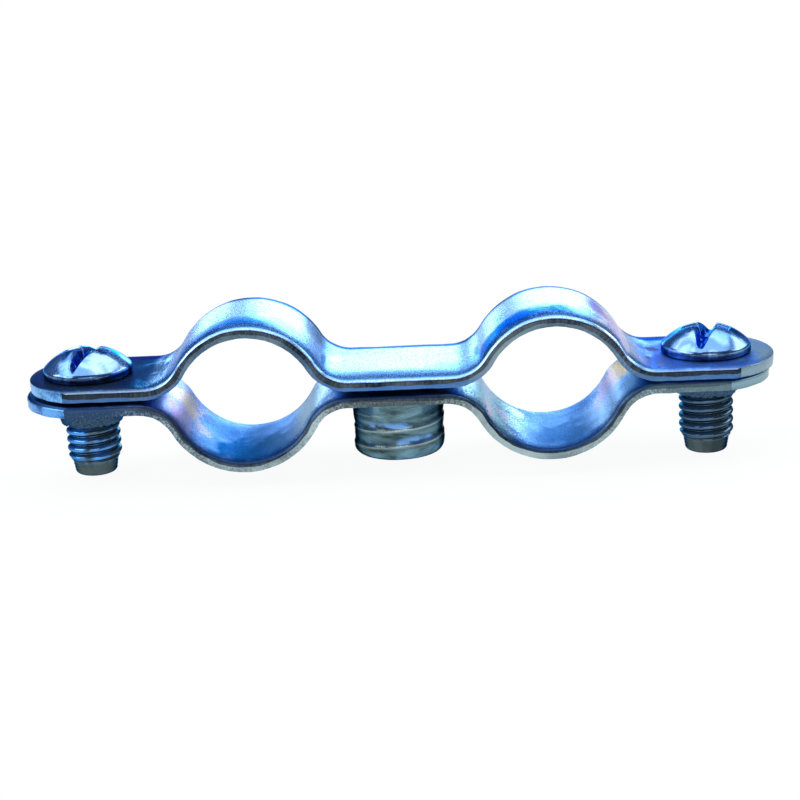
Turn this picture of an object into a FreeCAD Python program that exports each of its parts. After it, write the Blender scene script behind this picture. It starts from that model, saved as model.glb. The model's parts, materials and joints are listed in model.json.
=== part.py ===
import FreeCAD, Part
import math
import os
import Sketcher

# Double pipe clip: two pressed straps hold a pair of pipes, two screws close the straps,
# and a threaded boss riveted into the lower strap screws onto a wall stud.
# The origin is the centre of the boss mouth, +X runs along the clip and +Z points up. Millimetres.

SIZES = (
    ("saddle_radius", 6.2, "inner radius of the four pipe saddles"),
    ("strap_width", 12.0, "width of the steel strip"),
    ("strap_thickness", 1.0, "thickness of the steel strip"),
    ("edge_roll", 0.25, "bevel of the long strip edges on the side the punch entered"),
    ("bridge_bend", 3.2, "hollow radius of the bends beside the bridge"),
    ("lug_bend", 3.3, "hollow radius of the bends beside the lugs"),
    ("bridge_land", 0.237, "flat of the lower bridge left on each side of the boss"),
    ("head_land", 1.157, "flat of the upper lug left between its bend and the screw head"),
    ("upper_saddle_drop", 0.95, "upper saddle centres below the underside of the upper lugs"),
    ("lower_saddle_rise", 0.6, "lower saddle centres above the top of the lower lugs"),
    ("upper_bridge_step", 0.12, "upper bridge above its lugs"),
    ("lower_bridge_step", 0.12, "lower bridge below its lugs"),
    ("lug_overhang", 5.6, "screw axis to the end of the lug"),
    ("lug_corner", 1.43, "screw axis to the corners where the rounded end begins"),
    ("parting_height", 6.88, "boss mouth to the top of the lower lugs"),
    ("lug_gap", 0.06, "smallest gap between the lugs, at the tight end"),
    ("strap_tilt", 0.3, "degrees that the upper strap leans down to the tight end"),
    ("strap_shift", 0.38, "sideways play taken up by the upper strap"),
    ("shank_clearance", 0.17, "room left round the screw in the upper lug beyond that play"),
    ("screw_diameter", 4.9, "screw thread over its crests"),
    ("thread_clearance", 0.05, "running clearance round the screw in the tapped lug"),
    ("screw_length", 9.2, "screw below its head"),
    ("tip_length", 1.2, "tapered lead of the screw"),
    ("tip_inset", 0.6, "how far the lead narrows on each side"),
    ("head_diameter", 8.0, "screw head"),
    ("head_height", 2.5, "screw head from its underside to the crown"),
    ("head_rim", 0.7, "upright rim below the dome"),
    ("head_seat", 0.03, "clearance under the screw head"),
    ("slot_width", 1.1, "screwdriver slot"),
    ("slot_depth", 1.45, "slot floor below the crown"),
    ("slot_turn", 16.0, "degrees that the slots lie off the strip's width"),
    ("wing_width", 1.3, "cross recess wing at the crown"),
    ("wing_span", 4.3, "cross recess from wing end to wing end"),
    ("wing_depth", 1.7, "cross recess below the crown"),
    ("wing_taper", 10.0, "degrees that the recess walls lean in"),
    ("collar_depth", 1.8, "plunged collar below the lower lug"),
    ("collar_root_wall", 0.6, "collar wall where it leaves the lug"),
    ("collar_rim_wall", 0.25, "collar wall at its rim"),
    ("boss_bore", 5.4, "minor diameter of the stud thread"),
    ("boss_wall", 1.4, "boss wall outside the thread"),
    ("boss_edge", 0.45, "bevel of the boss at its mouth"),
    ("spigot_wall", 0.7, "wall of the boss where it passes through the bridge"),
    ("spigot_clearance", 0.02, "clearance round the spigot in the bridge hole"),
    ("rivet_lip", 0.4, "how far the riveted rim spreads over the bridge"),
    ("rivet_height", 0.2, "height of the riveted rim"),
)

document = FreeCAD.newDocument("double_pipe_clip")
sheet = document.addObject("Spreadsheet::Sheet", "Sizes")
for row, (alias, value, meaning) in enumerate(SIZES, start=1):
    sheet.set("A%d" % row, meaning)
    sheet.set("B%d" % row, str(value))
    sheet.setAlias("B%d" % row, alias)
document.recompute()

# Lengths worked out from the sheet, as expressions that several features share.
# The bends touch the saddles, so each flat ends where the two radii and the step put it.
LOWER_REACH = (
    "sqrt((Sizes.saddle_radius + Sizes.strap_thickness + Sizes.bridge_bend)^2"
    " - (Sizes.strap_thickness + Sizes.bridge_bend + Sizes.lower_saddle_rise + Sizes.lower_bridge_step)^2)"
)
LUG_REACH = (
    "sqrt((Sizes.saddle_radius + Sizes.strap_thickness + Sizes.lug_bend)^2"
    " - (Sizes.strap_thickness + Sizes.lug_bend + Sizes.upper_saddle_drop)^2)"
)
BOSS_RADIUS = "(Sizes.boss_bore / 2 + Sizes.boss_wall)"
SPIGOT_RADIUS = "(Sizes.boss_bore / 2 + Sizes.spigot_wall)"
BOSS_SHOULDER = "(Sizes.parting_height - Sizes.lower_bridge_step - Sizes.strap_thickness)"
PIPE_X = f"({BOSS_RADIUS} + Sizes.bridge_land + {LOWER_REACH})"
SCREW_X = f"({PIPE_X} + {LUG_REACH} + Sizes.head_land + Sizes.head_diameter / 2)"
LUG_END_X = f"({SCREW_X} + Sizes.lug_overhang)"
END_RISE = "(Sizes.lug_overhang - Sizes.lug_corner)"
END_RADIUS = f"(((Sizes.strap_width / 2)^2 + {END_RISE}^2) / (2 * {END_RISE}))"
STRAP_HOLE = "(Sizes.screw_diameter + 2 * (Sizes.strap_shift + Sizes.shank_clearance))"
TAPPED_HOLE = "(Sizes.screw_diameter + 2 * Sizes.thread_clearance)"
TILT = "(Sizes.strap_tilt * 1 deg)"
UPPER_BASE = f"(Sizes.parting_height + Sizes.lug_gap + {LUG_END_X} * tan({TILT}))"


def work_out(expression):
    """Value of an expression over the sheet, as a plain number."""
    return float(sheet.evalExpression(expression.replace("Sizes.", "")))


def origin_plane(body, role):
    """One of the body's own origin planes."""
    return next(feature for feature in body.Origin.OriginFeatures if feature.Role == role)


def new_sketch(body, plane_role, name, height=None):
    """Sketch on one of the body's own origin planes, lifted along its normal by an expression."""
    sketch = body.newObject("Sketcher::SketchObject", name)
    sketch.AttachmentSupport = [(origin_plane(body, plane_role), "")]
    sketch.MapMode = "FlatFace"
    if height:
        sketch.setExpression("AttachmentOffset.Base.z", height)
    return sketch


def dimension(sketch, name, expression, kind, *where):
    """Named sketch dimension that follows an expression over the sheet."""
    index = sketch.addConstraint(Sketcher.Constraint(kind, *where, work_out(expression)))
    sketch.renameConstraint(index, name)
    sketch.setExpression("Constraints." + name, expression)


def join_ends(sketch, kind, first, second):
    """Joins the end of one edge to the start of another: (edge, end) pairs, end 1 or 2."""
    sketch.addConstraint(Sketcher.Constraint(kind, *first, *second))


def line(sketch, start, finish):
    """Line between two points of the sketch plane."""
    return sketch.addGeometry(Part.LineSegment(FreeCAD.Vector(*start, 0), FreeCAD.Vector(*finish, 0)))


def arc(sketch, centre, radius, start, finish):
    """Counter-clockwise arc between two angles in radians."""
    circle = Part.Circle(FreeCAD.Vector(*centre, 0), FreeCAD.Vector(0, 0, 1), radius)
    return sketch.addGeometry(Part.ArcOfCircle(circle, start, finish))


def closed_outline(sketch, points):
    """Closed outline of straight edges, upright and level edges held so. Returns the edge numbers."""
    following = points[1:] + points[:1]
    edges = [line(sketch, start, finish) for start, finish in zip(points, following)]
    for edge, successor in zip(edges, edges[1:] + edges[:1]):
        join_ends(sketch, "Coincident", (edge, 2), (successor, 1))
    for edge, start, finish in zip(edges, points, following):
        if start[1] == finish[1]:
            sketch.addConstraint(Sketcher.Constraint("Horizontal", edge))
        elif start[0] == finish[0]:
            sketch.addConstraint(Sketcher.Constraint("Vertical", edge))
    return edges


def through_hole(body, name, diameter, centre_x=None):
    """Round hole right through the strip on its centre line."""
    sketch = new_sketch(body, "XY_Plane", name + "_sketch")
    centre = FreeCAD.Vector(work_out(centre_x) if centre_x else 0, 0, 0)
    circle = sketch.addGeometry(Part.Circle(centre, FreeCAD.Vector(0, 0, 1), work_out(diameter) / 2))
    dimension(sketch, "bore", diameter, "Diameter", circle)
    if centre_x:
        sketch.addConstraint(Sketcher.Constraint("PointOnObject", circle, 3, -1))
        dimension(sketch, "place", centre_x, "DistanceX", -1, 1, circle, 3)
    else:
        sketch.addConstraint(Sketcher.Constraint("Coincident", circle, 3, -1, 1))
    hole = body.newObject("PartDesign::Pocket", name)
    hole.Profile = sketch
    hole.Type = "ThroughAll"
    hole.SideType = "Symmetric"


def strap_profile(body, drop, step):
    """Right half of the strip's side view, saddle upwards: bridge, bend, saddle, bend and lug."""
    sketch = new_sketch(body, "XZ_Plane", body.Label + "_profile")
    thickness = work_out("Sizes.strap_thickness")
    saddle_radius = work_out("Sizes.saddle_radius")
    bridge_bend = work_out("Sizes.bridge_bend")
    lug_bend = work_out("Sizes.lug_bend")
    bridge = work_out(step)
    end_x = work_out(LUG_END_X) + thickness
    saddle = (work_out(PIPE_X), -work_out(drop))
    bridge_rise = bridge + thickness + bridge_bend - saddle[1]
    lug_rise = thickness + lug_bend - saddle[1]
    bridge_reach = math.sqrt((saddle_radius + thickness + bridge_bend) ** 2 - bridge_rise ** 2)
    lug_reach = math.sqrt((saddle_radius + thickness + lug_bend) ** 2 - lug_rise ** 2)
    inner = (saddle[0] - bridge_reach, bridge + thickness + bridge_bend)
    outer = (saddle[0] + lug_reach, thickness + lug_bend)
    inner_angle = math.atan2(bridge_rise, -bridge_reach)
    outer_angle = math.atan2(lug_rise, lug_reach)
    down = -math.pi / 2

    middle = line(sketch, (0, bridge + thickness), (0, bridge))
    bridge_under = line(sketch, (0, bridge), (inner[0], bridge))
    bridge_under_bend = arc(sketch, inner, bridge_bend + thickness, down, inner_angle - math.pi)
    saddle_inside = arc(sketch, saddle, saddle_radius, outer_angle, inner_angle)
    lug_under_bend = arc(sketch, outer, lug_bend + thickness, outer_angle - math.pi, down)
    lug_under = line(sketch, (outer[0], 0), (end_x, 0))
    end = line(sketch, (end_x, 0), (end_x, thickness))
    lug_top = line(sketch, (end_x, thickness), (outer[0], thickness))
    lug_top_bend = arc(sketch, outer, lug_bend, outer_angle - math.pi, down)
    saddle_outside = arc(sketch, saddle, saddle_radius + thickness, outer_angle, inner_angle)
    bridge_top_bend = arc(sketch, inner, bridge_bend, down, inner_angle - math.pi)
    bridge_top = line(sketch, (inner[0], bridge + thickness), (0, bridge + thickness))

    for first, second in (
        ((middle, 2), (bridge_under, 1)),
        ((lug_under, 2), (end, 1)),
        ((end, 2), (lug_top, 1)),
        ((bridge_top, 2), (middle, 1)),
    ):
        join_ends(sketch, "Coincident", first, second)
    for first, second in (
        ((bridge_under, 2), (bridge_under_bend, 1)),
        ((bridge_under_bend, 2), (saddle_inside, 2)),
        ((saddle_inside, 1), (lug_under_bend, 1)),
        ((lug_under_bend, 2), (lug_under, 1)),
        ((lug_top, 2), (lug_top_bend, 2)),
        ((lug_top_bend, 1), (saddle_outside, 1)),
        ((saddle_outside, 2), (bridge_top_bend, 2)),
        ((bridge_top_bend, 1), (bridge_top, 1)),
    ):
        join_ends(sketch, "Tangent", first, second)
    for inside, outside in (
        (bridge_under_bend, bridge_top_bend),
        (saddle_inside, saddle_outside),
        (lug_under_bend, lug_top_bend),
    ):
        sketch.addConstraint(Sketcher.Constraint("Coincident", inside, 3, outside, 3))
    for edge in (bridge_under, bridge_top, lug_under, lug_top):
        sketch.addConstraint(Sketcher.Constraint("Horizontal", edge))
    for edge in (middle, end):
        sketch.addConstraint(Sketcher.Constraint("Vertical", edge))
    sketch.addConstraint(Sketcher.Constraint("PointOnObject", middle, 1, -2))
    sketch.addConstraint(Sketcher.Constraint("PointOnObject", lug_under, 1, -1))
    dimension(sketch, "thickness", "Sizes.strap_thickness", "DistanceY", middle, 2, middle, 1)
    dimension(sketch, "step", step, "DistanceY", -1, 1, bridge_under, 1)
    dimension(sketch, "bridge_bend", "Sizes.bridge_bend", "Radius", bridge_top_bend)
    dimension(sketch, "lug_bend", "Sizes.lug_bend", "Radius", lug_top_bend)
    dimension(sketch, "saddle", "Sizes.saddle_radius", "Radius", saddle_inside)
    dimension(sketch, "drop", drop, "DistanceY", saddle_inside, 3, -1, 1)
    dimension(sketch, "pipe", PIPE_X, "DistanceX", -1, 1, saddle_inside, 3)
    dimension(sketch, "blank_end", f"{LUG_END_X} + Sizes.strap_thickness", "DistanceX", -1, 1, end, 1)
    return sketch


def round_lug_end(body):
    """Crops the lug to its arc, which meets the straight sides at a corner."""
    sketch = new_sketch(body, "XY_Plane", body.Label + "_end_sketch")
    half_width = work_out("Sizes.strap_width") / 2
    radius = work_out(END_RADIUS)
    centre_x = work_out(LUG_END_X) - radius
    corner_x = work_out(f"{SCREW_X} + Sizes.lug_corner")
    blank_x = work_out(LUG_END_X) + 2 * work_out("Sizes.strap_thickness")
    spread = math.atan2(half_width, corner_x - centre_x)

    end_arc = arc(sketch, (centre_x, 0), radius, -spread, spread)
    upper_side = line(sketch, (corner_x, half_width), (blank_x, 2 * half_width))
    far_side = line(sketch, (blank_x, 2 * half_width), (blank_x, -2 * half_width))
    lower_side = line(sketch, (blank_x, -2 * half_width), (corner_x, -half_width))
    join_ends(sketch, "Coincident", (end_arc, 2), (upper_side, 1))
    join_ends(sketch, "Coincident", (upper_side, 2), (far_side, 1))
    join_ends(sketch, "Coincident", (far_side, 2), (lower_side, 1))
    join_ends(sketch, "Coincident", (lower_side, 2), (end_arc, 1))
    sketch.addConstraint(Sketcher.Constraint("PointOnObject", end_arc, 3, -1))
    sketch.addConstraint(Sketcher.Constraint("Symmetric", end_arc, 1, end_arc, 2, -1))
    sketch.addConstraint(Sketcher.Constraint("Symmetric", far_side, 1, far_side, 2, -1))
    dimension(sketch, "end_radius", END_RADIUS, "Radius", end_arc)
    dimension(sketch, "width", "Sizes.strap_width", "DistanceY", end_arc, 1, end_arc, 2)
    dimension(sketch, "corner", f"{SCREW_X} + Sizes.lug_corner", "DistanceX", -1, 1, end_arc, 2)
    dimension(sketch, "blank", f"{LUG_END_X} + 2 * Sizes.strap_thickness", "DistanceX", -1, 1, far_side, 1)
    dimension(sketch, "spread", "2 * Sizes.strap_width", "DistanceY", far_side, 2, far_side, 1)
    crop = body.newObject("PartDesign::Pocket", body.Label + "_end")
    crop.Profile = sketch
    crop.Type = "ThroughAll"
    crop.SideType = "Symmetric"


def rolled_edges(shape, side):
    """Long edges of the strip on one side (+1 away from the pipes' seats, -1 towards them)."""
    names = []
    nearly = 1e-3
    for number, edge in enumerate(shape.Edges, start=1):
        faces = shape.ancestorsOfType(edge, Part.Face)
        flanks = [face for face in faces if abs(face.normalAt(0, 0).y) > 1 - nearly]
        skins = [face for face in faces if abs(face.normalAt(0, 0).y) < nearly]
        if len(flanks) != 1 or len(skins) != 1:
            continue
        middle = edge.valueAt((edge.FirstParameter + edge.LastParameter) / 2)
        skin = skins[0]
        normal = skin.normalAt(*skin.Surface.parameter(middle))
        if normal.z * side > nearly:
            names.append("Edge%d" % number)
    return names


def strap_half(label, drop, step):
    """Right half of a pressed strap, lug seat at z = 0 and saddle upwards."""
    body = document.addObject("PartDesign::Body", label)
    strip = body.newObject("PartDesign::Pad", label + "_strip")
    strip.Profile = strap_profile(body, drop, step)
    strip.SideType = "Symmetric"
    strip.setExpression("Length", "Sizes.strap_width")
    round_lug_end(body)
    return body


def mirror_strap(body):
    """Adds the left half of the strap."""
    document.recompute()
    whole = body.newObject("PartDesign::Mirrored", body.Label + "_mirrored")
    whole.TransformMode = "Whole shape"
    whole.MirrorPlane = (origin_plane(body, "YZ_Plane"), [""])
    body.Tip = whole
    document.recompute()


def roll_edges(body, side):
    """Bevels the long edges that the punch rolled over."""
    document.recompute()
    base = body.Tip
    roll = body.newObject("PartDesign::Chamfer", body.Label + "_edge_roll")
    roll.Base = (base, rolled_edges(base.Shape, side))
    roll.setExpression("Size", "Sizes.edge_roll")
    document.recompute()


def plunged_collar(body):
    """Tapered collar that the plunge pushes out of the lug, later drilled with it."""
    collar = body.newObject("PartDesign::AdditiveCone", "plunged_collar")
    collar.setExpression("Radius1", f"{TAPPED_HOLE} / 2 + Sizes.collar_root_wall")
    collar.setExpression("Radius2", f"{TAPPED_HOLE} / 2 + Sizes.collar_rim_wall")
    collar.setExpression("Height", "Sizes.collar_depth")
    collar.AttachmentSupport = [(origin_plane(body, "XY_Plane"), "")]
    collar.MapMode = "FlatFace"
    collar.setExpression("AttachmentOffset.Base.x", SCREW_X)
    collar.setExpression("AttachmentOffset.Base.z", "Sizes.strap_thickness")


def recess(body, name, width, span, depth, taper=None):
    """Oblong recess sunk into the crown of the screw head."""
    sketch = new_sketch(body, "XY_Plane", name + "_sketch", "Sizes.head_height")
    half_width = work_out(width) / 2
    half_span = work_out(span) / 2
    edges = closed_outline(sketch, [
        (-half_width, -half_span), (half_width, -half_span),
        (half_width, half_span), (-half_width, half_span),
    ])
    sketch.addConstraint(Sketcher.Constraint("Symmetric", edges[0], 1, edges[2], 1, -1, 1))
    dimension(sketch, "width", width, "DistanceX", edges[0], 1, edges[0], 2)
    dimension(sketch, "span", span, "DistanceY", edges[1], 1, edges[1], 2)
    pocket = body.newObject("PartDesign::Pocket", name)
    pocket.Profile = sketch
    pocket.setExpression("Length", depth)
    if taper:
        pocket.setExpression("TaperAngle", taper)


def screw(label, side):
    """Domed screw, head seat at z = 0, with a slot crossed by a tapered cross recess."""
    body = document.addObject("PartDesign::Body", label)
    sketch = new_sketch(body, "XZ_Plane", label + "_profile")
    head_radius = work_out("Sizes.head_diameter / 2")
    shank_radius = work_out("Sizes.screw_diameter / 2")
    tip_radius = work_out("Sizes.screw_diameter / 2 - Sizes.tip_inset")
    crown = work_out("Sizes.head_height")
    rim = work_out("Sizes.head_rim")
    tip = -work_out("Sizes.screw_length")
    lead = tip + work_out("Sizes.tip_length")
    dome_radius = (head_radius ** 2 + (crown - rim) ** 2) / (2 * (crown - rim))
    dome_centre = crown - dome_radius

    dome = arc(sketch, (0, dome_centre), dome_radius, math.atan2(rim - dome_centre, head_radius), math.pi / 2)
    axis = line(sketch, (0, crown), (0, tip))
    tip_face = line(sketch, (0, tip), (tip_radius, tip))
    lead_side = line(sketch, (tip_radius, tip), (shank_radius, lead))
    shank = line(sketch, (shank_radius, lead), (shank_radius, 0))
    seat = line(sketch, (shank_radius, 0), (head_radius, 0))
    rim_side = line(sketch, (head_radius, 0), (head_radius, rim))
    edges = [axis, tip_face, lead_side, shank, seat, rim_side]
    join_ends(sketch, "Coincident", (dome, 2), (axis, 1))
    for edge, successor in zip(edges, edges[1:]):
        join_ends(sketch, "Coincident", (edge, 2), (successor, 1))
    join_ends(sketch, "Coincident", (rim_side, 2), (dome, 1))
    for edge in (axis, shank, rim_side):
        sketch.addConstraint(Sketcher.Constraint("Vertical", edge))
    for edge in (tip_face, seat):
        sketch.addConstraint(Sketcher.Constraint("Horizontal", edge))
    sketch.addConstraint(Sketcher.Constraint("PointOnObject", dome, 3, -2))
    sketch.addConstraint(Sketcher.Constraint("PointOnObject", axis, 1, -2))
    sketch.addConstraint(Sketcher.Constraint("PointOnObject", seat, 1, -1))
    dimension(sketch, "head", "Sizes.head_diameter / 2", "DistanceX", -1, 1, rim_side, 1)
    dimension(sketch, "shank", "Sizes.screw_diameter / 2", "DistanceX", -1, 1, seat, 1)
    dimension(sketch, "inset", "Sizes.tip_inset", "DistanceX", lead_side, 1, lead_side, 2)
    dimension(sketch, "crown", "Sizes.head_height", "DistanceY", -1, 1, axis, 1)
    dimension(sketch, "rim", "Sizes.head_rim", "DistanceY", -1, 1, rim_side, 2)
    dimension(sketch, "length", "Sizes.screw_length", "DistanceY", tip_face, 1, -1, 1)
    dimension(sketch, "lead", "Sizes.tip_length", "DistanceY", lead_side, 1, lead_side, 2)

    turned = body.newObject("PartDesign::Revolution", label + "_turned")
    turned.Profile = sketch
    turned.ReferenceAxis = (sketch, ["V_Axis"])
    recess(body, label + "_slot", "Sizes.slot_width", "2 * Sizes.head_diameter", "Sizes.slot_depth")
    wing_sink = ("Sizes.wing_depth", "Sizes.wing_taper")
    recess(body, label + "_wing_along", "Sizes.wing_width", "Sizes.wing_span", *wing_sink)
    recess(body, label + "_wing_across", "Sizes.wing_span", "Sizes.wing_width", *wing_sink)

    # The head rests on the high side of the leaning lug.
    place_x = f"{side} * {SCREW_X}"
    high_side = f"({place_x} - Sizes.strap_shift - Sizes.head_diameter / 2)"
    lug_top = f"{UPPER_BASE} + Sizes.strap_thickness / cos({TILT}) - {high_side} * tan({TILT})"
    slot_turn = -work_out("Sizes.slot_turn")
    upright = FreeCAD.Vector(0, 0, 1)
    body.Placement = FreeCAD.Placement(FreeCAD.Vector(), FreeCAD.Rotation(upright, slot_turn))
    body.setExpression("Placement.Rotation.Angle", "Sizes.slot_turn * -1 deg")
    body.setExpression("Placement.Base.x", place_x)
    body.setExpression("Placement.Base.z", f"{lug_top} + Sizes.head_seat")
    return body


def boss(label):
    """Threaded bush: its shoulder bears under the bridge and its riveted rim holds it from above."""
    body = document.addObject("PartDesign::Body", label)
    sketch = new_sketch(body, "XZ_Plane", label + "_profile")
    bore = work_out("Sizes.boss_bore / 2")
    outer = work_out(BOSS_RADIUS)
    spigot = work_out(SPIGOT_RADIUS)
    lip = spigot + work_out("Sizes.rivet_lip")
    shoulder = work_out(BOSS_SHOULDER)
    bridge_top = shoulder + work_out("Sizes.strap_thickness")
    top = bridge_top + work_out("Sizes.rivet_height")
    edges = closed_outline(sketch, [
        (bore, 0), (outer, 0), (outer, shoulder), (spigot, shoulder),
        (spigot, bridge_top), (lip, bridge_top), (lip, top), (bore, top),
    ])
    mouth, side, step, neck, lip_under, lip_side = edges[:6]
    sketch.addConstraint(Sketcher.Constraint("PointOnObject", mouth, 1, -1))
    dimension(sketch, "bore", "Sizes.boss_bore / 2", "DistanceX", -1, 1, mouth, 1)
    dimension(sketch, "wall", "Sizes.boss_wall", "DistanceX", mouth, 1, mouth, 2)
    dimension(sketch, "shoulder", BOSS_SHOULDER, "DistanceY", side, 1, side, 2)
    dimension(sketch, "spigot", SPIGOT_RADIUS, "DistanceX", -1, 1, step, 2)
    dimension(sketch, "grip", "Sizes.strap_thickness", "DistanceY", neck, 1, neck, 2)
    dimension(sketch, "lip", "Sizes.rivet_lip", "DistanceX", lip_under, 1, lip_under, 2)
    dimension(sketch, "rivet", "Sizes.rivet_height", "DistanceY", lip_side, 1, lip_side, 2)
    turned = body.newObject("PartDesign::Revolution", label + "_turned")
    turned.Profile = sketch
    turned.ReferenceAxis = (sketch, ["V_Axis"])
    document.recompute()
    bevel = body.newObject("PartDesign::Chamfer", label + "_mouth_edge")
    bevel.Base = (turned, ["Edge%d" % number for number, edge in enumerate(turned.Shape.Edges, start=1)
                           if isinstance(edge.Curve, Part.Circle)
                           and math.isclose(edge.Curve.Radius, outer)
                           and math.isclose(edge.Curve.Center.z, 0, abs_tol=1e-6)])
    bevel.setExpression("Size", "Sizes.boss_edge")
    return body


upper_strap = strap_half("upper_strap", "Sizes.upper_saddle_drop", "Sizes.upper_bridge_step")
through_hole(upper_strap, "shank_hole", STRAP_HOLE, SCREW_X)
mirror_strap(upper_strap)
roll_edges(upper_strap, 1)
upper_strap.Placement = FreeCAD.Placement(
    FreeCAD.Vector(), FreeCAD.Rotation(FreeCAD.Vector(0, 1, 0), work_out("Sizes.strap_tilt"))
)
upper_strap.setExpression("Placement.Rotation.Angle", TILT)
upper_strap.setExpression("Placement.Base.x", "Sizes.strap_shift")
upper_strap.setExpression("Placement.Base.z", UPPER_BASE)

# The lower strap is made the same way and turned over, so its rolled edges face the pipes.
lower_strap = strap_half("lower_strap", "Sizes.lower_saddle_rise", "Sizes.lower_bridge_step")
plunged_collar(lower_strap)
through_hole(lower_strap, "tapped_hole", TAPPED_HOLE, SCREW_X)
mirror_strap(lower_strap)
through_hole(lower_strap, "rivet_hole", f"2 * ({SPIGOT_RADIUS} + Sizes.spigot_clearance)")
roll_edges(lower_strap, -1)
lower_strap.Placement = FreeCAD.Placement(FreeCAD.Vector(), FreeCAD.Rotation(FreeCAD.Vector(1, 0, 0), 180))
lower_strap.setExpression("Placement.Base.z", "Sizes.parting_height")

threaded_boss = boss("threaded_boss")
left_screw = screw("left_screw", -1)
right_screw = screw("right_screw", 1)
document.recompute()

pieces = (upper_strap, lower_strap, threaded_boss, left_screw, right_screw)
failed = [item.Name for item in document.Objects if {"Invalid", "Error"} & set(item.State)]
if failed:
    raise RuntimeError("features that did not build: " + ", ".join(failed))
for piece in pieces:
    shape = piece.Shape
    if shape.isNull() or not shape.isValid() or len(shape.Solids) != 1:
        raise RuntimeError("not one sound solid: " + piece.Label)

os.makedirs("parts", exist_ok=True)
for piece in pieces:
    piece.Shape.exportStep("parts/" + piece.Label + ".step")
    box = piece.Shape.BoundBox
    print("%s: volume %.2f mm3, x %.2f to %.2f, y %.2f to %.2f, z %.2f to %.2f" % (
        piece.Label, piece.Shape.Volume, box.XMin, box.XMax, box.YMin, box.YMax, box.ZMin, box.ZMax))
print("pipe centres at x = +-%.3f, screws at x = +-%.3f" % (work_out(PIPE_X), work_out(SCREW_X)))
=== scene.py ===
import json
import math
import bpy
import numpy as np
from mathutils import Matrix, Vector


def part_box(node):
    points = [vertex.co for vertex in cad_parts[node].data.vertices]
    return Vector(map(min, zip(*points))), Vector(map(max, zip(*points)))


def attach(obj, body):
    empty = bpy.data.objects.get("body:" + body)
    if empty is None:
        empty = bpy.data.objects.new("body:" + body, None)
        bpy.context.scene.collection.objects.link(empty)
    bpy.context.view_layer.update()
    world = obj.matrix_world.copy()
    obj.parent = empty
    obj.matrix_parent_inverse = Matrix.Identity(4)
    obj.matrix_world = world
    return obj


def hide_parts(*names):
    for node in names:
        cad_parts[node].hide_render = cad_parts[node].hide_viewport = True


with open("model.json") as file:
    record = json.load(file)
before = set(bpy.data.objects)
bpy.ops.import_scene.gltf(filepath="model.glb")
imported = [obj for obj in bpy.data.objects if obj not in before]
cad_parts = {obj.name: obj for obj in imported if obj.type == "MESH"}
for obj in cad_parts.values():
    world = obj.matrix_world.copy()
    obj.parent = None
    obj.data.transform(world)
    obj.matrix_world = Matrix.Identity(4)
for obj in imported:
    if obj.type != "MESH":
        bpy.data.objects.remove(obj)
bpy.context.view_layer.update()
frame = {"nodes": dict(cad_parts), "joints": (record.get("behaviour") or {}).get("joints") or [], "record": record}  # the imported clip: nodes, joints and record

mm = 0.001
scene = bpy.context.scene
scene.view_settings.view_transform = "Standard"
print("frame loaded:", ", ".join(sorted(frame["nodes"])))


# Places read from the frame, in millimetres

def nodeBox(name):
    low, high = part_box(name)
    return low / mm, high / mm


def jointPlace(name):
    joint = next(item for item in frame["joints"] if item["name"] == name)
    return Vector(joint["pos_m"]) / mm


def mountPlace(name):
    mount = next(item for item in frame["record"]["mounts"] if item["name"] == name)
    return Vector(mount["pos_m"]) / mm


# Mesh helpers

def wobble(along, seed):  # smooth unevenness between -1 and 1
    waves = ((0.9, 0.35), (2.3, 0.3), (5.1, 0.2), (11.7, 0.15))  # rate and share of each
    return sum(share * np.sin(rate * along + seed * (1.3 + rate)) for rate, share in waves)


def smoothMin(first, second, reach):
    share = np.clip(0.5 + 0.5 * (second - first) / reach, 0, 1)
    return second + (first - second) * share - reach * share * (1 - share)


def smoothMax(first, second, reach):
    return -smoothMin(-first, -second, reach)


def ease(value):
    value = np.clip(value, 0, 1)
    return value * value * (3 - 2 * value)


def moved(points, matrix):
    whole = np.column_stack([points, np.ones(len(points))])
    return (whole @ np.array(matrix).T)[:, :3]


def ringPoints(radius, angles, height):
    return np.column_stack([radius * np.cos(angles), radius * np.sin(angles), height + 0 * angles])


def ringEdges(ring):
    return list(zip(ring, ring[1:] + ring[:1]))


def ringQuads(upper, lower):  # band between two rings of equal count, the upper ring listed first
    count = len(upper)
    return [(lower[i], lower[(i + 1) % count], upper[(i + 1) % count], upper[i]) for i in range(count)]


def makePiece(name, points, faces, finishes, materials, sharpEdges, form):
    mesh = bpy.data.meshes.new(name)
    mesh.from_pydata((np.asarray(points) * mm).tolist(), [], faces)
    for material in materials:
        mesh.materials.append(material)
    mesh.polygons.foreach_set("material_index", finishes)
    mesh.polygons.foreach_set("use_smooth", [True] * len(faces))
    if sharpEdges:
        wanted = {tuple(sorted(edge)) for edge in sharpEdges}
        for edge in mesh.edges:
            edge.use_edge_sharp = tuple(sorted(edge.vertices)) in wanted
    layer = mesh.attributes.new("form", "FLOAT_VECTOR", "POINT")
    layer.data.foreach_set("vector", np.asarray(form, dtype=np.float32).ravel())
    mesh.update()
    piece = bpy.data.objects.new(name, mesh)
    scene.collection.objects.link(piece)
    print(name, "has", sum(len(face) - 2 for face in faces), "triangles")
    return piece


# Node helpers

def newMaterial(name):
    material = bpy.data.materials.new(name)
    material.use_nodes = True
    tree = material.node_tree
    return material, tree, tree.nodes["Principled BSDF"]


def setInputs(tree, node, inputs):  # by name or number, colours without their alpha
    for key, value in inputs.items():
        socket = node.inputs[key]
        if isinstance(value, bpy.types.NodeSocket):
            tree.links.new(value, socket)
        else:
            socket.default_value = (*value, 1) if socket.type == "RGBA" else value


def addNode(tree, kind, inputs, **settings):
    made = tree.nodes.new(kind)
    for key, value in settings.items():
        setattr(made, key, value)
    setInputs(tree, made, inputs)
    return made.outputs


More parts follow.
